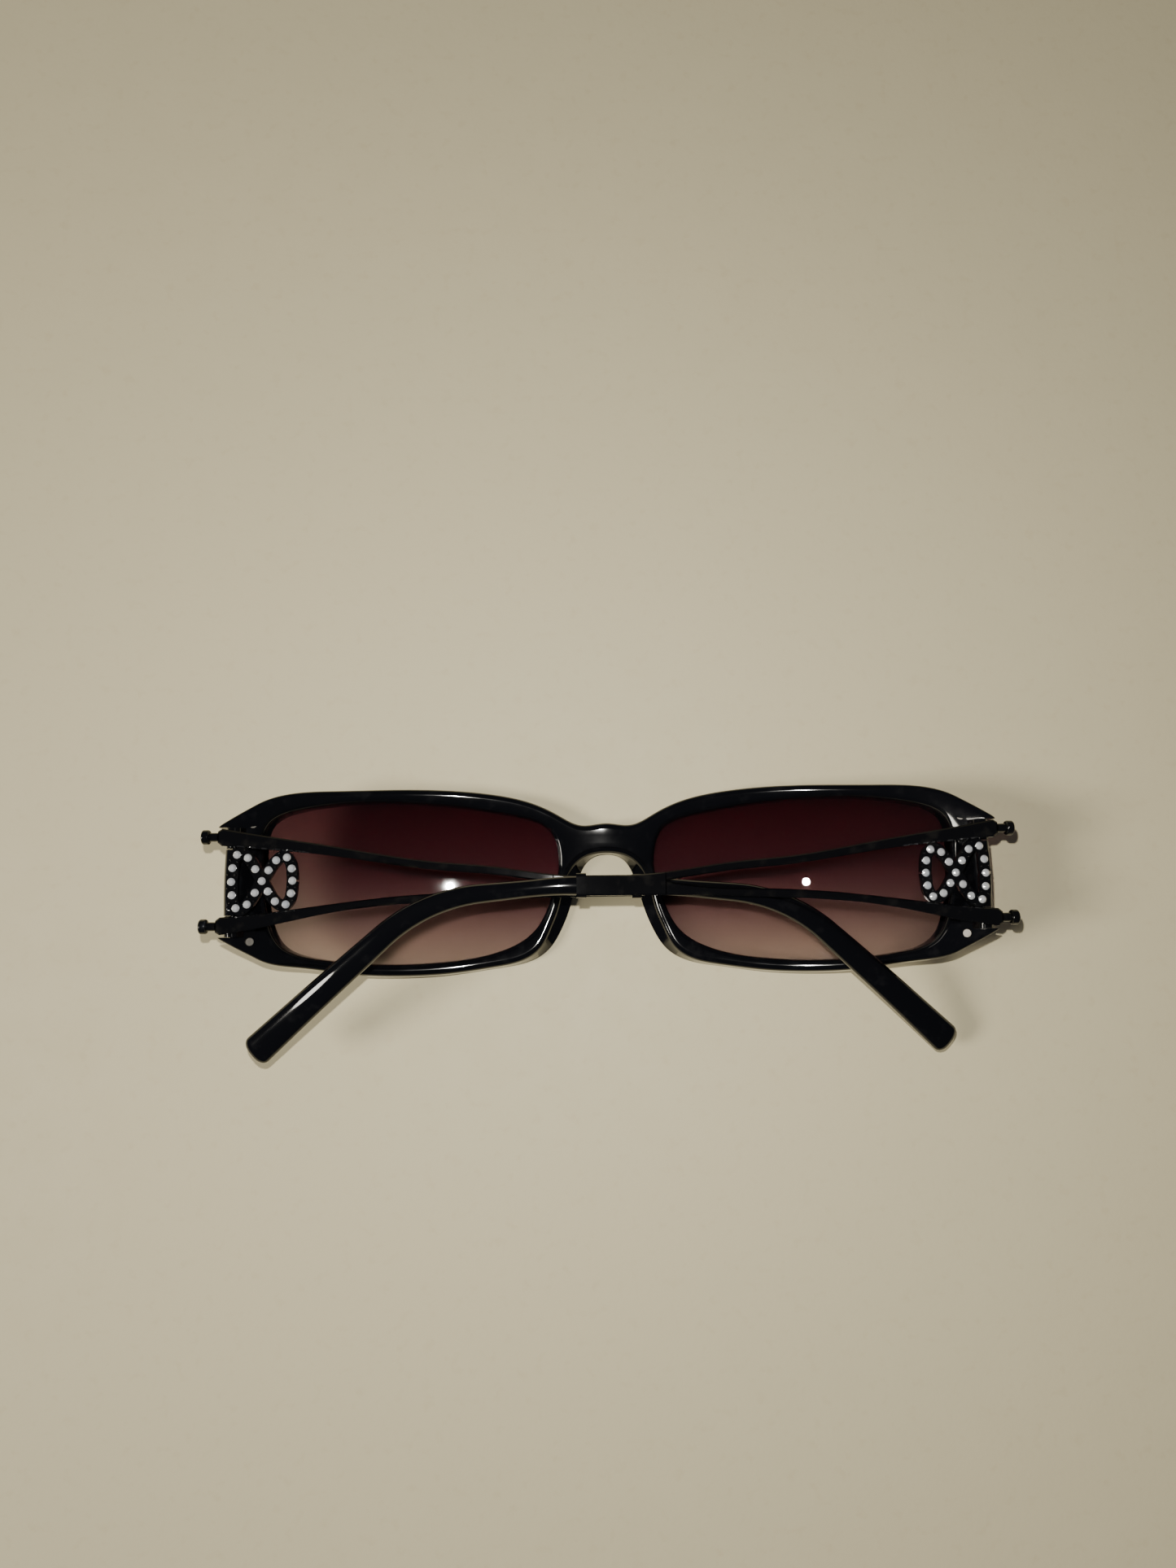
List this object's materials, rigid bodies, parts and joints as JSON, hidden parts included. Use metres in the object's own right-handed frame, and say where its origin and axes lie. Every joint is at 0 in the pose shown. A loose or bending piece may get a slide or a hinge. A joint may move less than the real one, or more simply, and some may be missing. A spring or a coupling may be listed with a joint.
{
  "type": "cat eye sunglasses",
  "caption": "Folded sunglasses: glossy wrapped front, tinted lenses, and openwork metal temples with a ribbon of rhinestones.",
  "frame": {"origin": "centre of the folded outline, on the surface that the front rests on", "axes": "+X across the face from the left hinge to the right one, +Y from the nose arch to the brow, +Z from the lenses to the wearer"},
  "size_m": [0.1362, 0.0478, 0.0245],
  "materials": {
    "acetate": "polished black",
    "lens": "plum gradient tint, darker at the brow",
    "bar_metal": "gloss black enamel",
    "hinge_metal": "dull satin",
    "bead_metal": "bright",
    "rhinestone": "clear faceted with foil back"
  },
  "bodies": {
    "front": {"front_frame": "acetate", "left_lens": "lens", "right_lens": "lens", "left_upper_hinge_leaf": "hinge_metal", "left_lower_hinge_leaf": "hinge_metal", "right_upper_hinge_leaf": "hinge_metal", "right_lower_hinge_leaf": "hinge_metal", "hinge_screws": "hinge_metal", "hinge_rivets": "hinge_metal"},
    "left_temple": {"left_temple_upper_bar": "bar_metal", "left_temple_lower_bar": "bar_metal", "left_temple_joining_bar": "bar_metal", "left_bar_finials": "bar_metal", "left_sleeve_collar": "bar_metal", "left_core_wire": "hinge_metal", "left_temple_sleeve": "acetate", "left_ornament_plate": "bar_metal", "left_rhinestones": "rhinestone", "left_prong_beads": "bead_metal"},
    "right_temple": {"right_temple_upper_bar": "bar_metal", "right_temple_lower_bar": "bar_metal", "right_temple_joining_bar": "bar_metal", "right_bar_finials": "bar_metal", "right_sleeve_collar": "bar_metal", "right_core_wire": "hinge_metal", "right_temple_sleeve": "acetate", "right_ornament_plate": "bar_metal", "right_rhinestones": "rhinestone", "right_prong_beads": "bead_metal"}
  },
  "joints": [
    {"name": "left_temple_hinge", "type": "hinge", "parent": "front", "child": "left_temple", "pos_m": [-0.0634, 0.0069, 0.016], "axis": [0, -1, 0], "range_deg": [0, 90]},
    {"name": "right_temple_hinge", "type": "hinge", "parent": "front", "child": "right_temple", "pos_m": [0.0634, 0.0069, 0.016], "axis": [0, 1, 0], "range_deg": [0, 86.3]}
  ]
}
